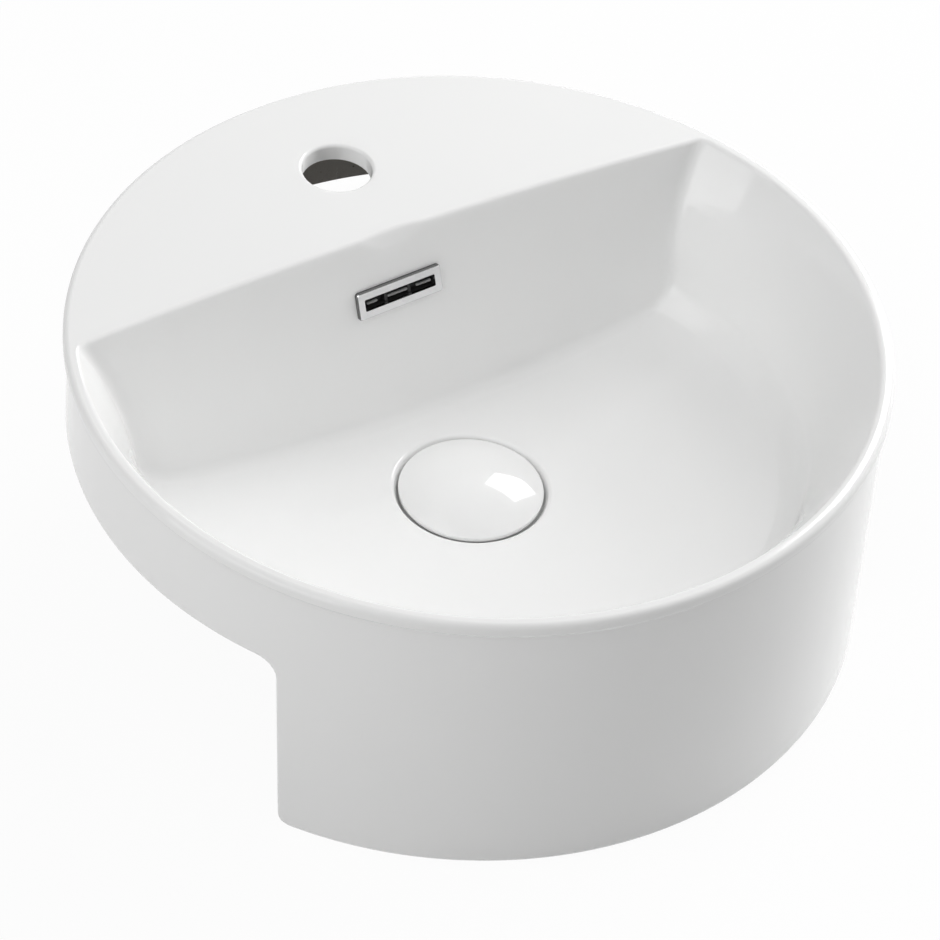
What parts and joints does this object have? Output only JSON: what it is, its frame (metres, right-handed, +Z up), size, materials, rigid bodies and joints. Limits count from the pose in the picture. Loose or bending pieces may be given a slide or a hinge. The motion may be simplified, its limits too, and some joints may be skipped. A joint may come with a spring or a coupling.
{
  "type": "semi recessed basin",
  "caption": "Round semi recessed basin with a D-shaped bowl, one tap hole, an overflow and a ceramic-capped click waste.",
  "frame": {"origin": "centre of the round rim in plan, at the level of the apron's lower edge", "axes": "+Z up, +Y to the back of the basin, +X to the right as seen from the front"},
  "size_m": [0.3999, 0.4, 0.16],
  "materials": {
    "glaze": "gloss",
    "cap_glaze": "gloss",
    "trim_chrome": "polished",
    "sleeve_plastic": "matte",
    "waste_chrome": "polished",
    "gasket_rubber": "matte",
    "slip_plastic": "satin",
    "nut_brass": "satin",
    "cartridge_plastic": "satin",
    "rotor_plastic": "matte",
    "spring_steel": "bright",
    "bond_resin": "satin"
  },
  "bodies": {
    "basin": {"basin_body": "glaze", "overflow_trim": "trim_chrome", "overflow_sleeve": "sleeve_plastic", "waste_body": "waste_chrome", "flange_gasket": "gasket_rubber", "lower_washer": "gasket_rubber", "slip_washer": "slip_plastic", "lock_nut": "nut_brass", "strainer_cross": "cartridge_plastic", "cartridge_housing": "cartridge_plastic", "cartridge_plug": "cartridge_plastic", "click_spring": "spring_steel", "stem_seal": "gasket_rubber"},
    "cap": {"dome_cap": "cap_glaze", "cap_bond": "bond_resin", "cap_carrier": "nut_brass", "cap_seal": "gasket_rubber", "click_stem": "waste_chrome"},
    "rotor": {"click_rotor": "rotor_plastic"}
  },
  "joints": [
    {"name": "cap_pop", "type": "slide", "parent": "basin", "child": "cap", "axis": [0, 0, 1], "range_m": [0, 0.009], "deforming": ["click_spring"]},
    {"name": "rotor_turn", "type": "hinge", "parent": "cap", "child": "rotor", "pos_m": [0, -0.004, 0.0325], "axis": [0, 0, 1], "range_deg": [0, 45]}
  ],
  "couplings": [
    {"joint": "rotor_turn", "follows": "cap_pop", "rad_per_m": 87.258}
  ]
}
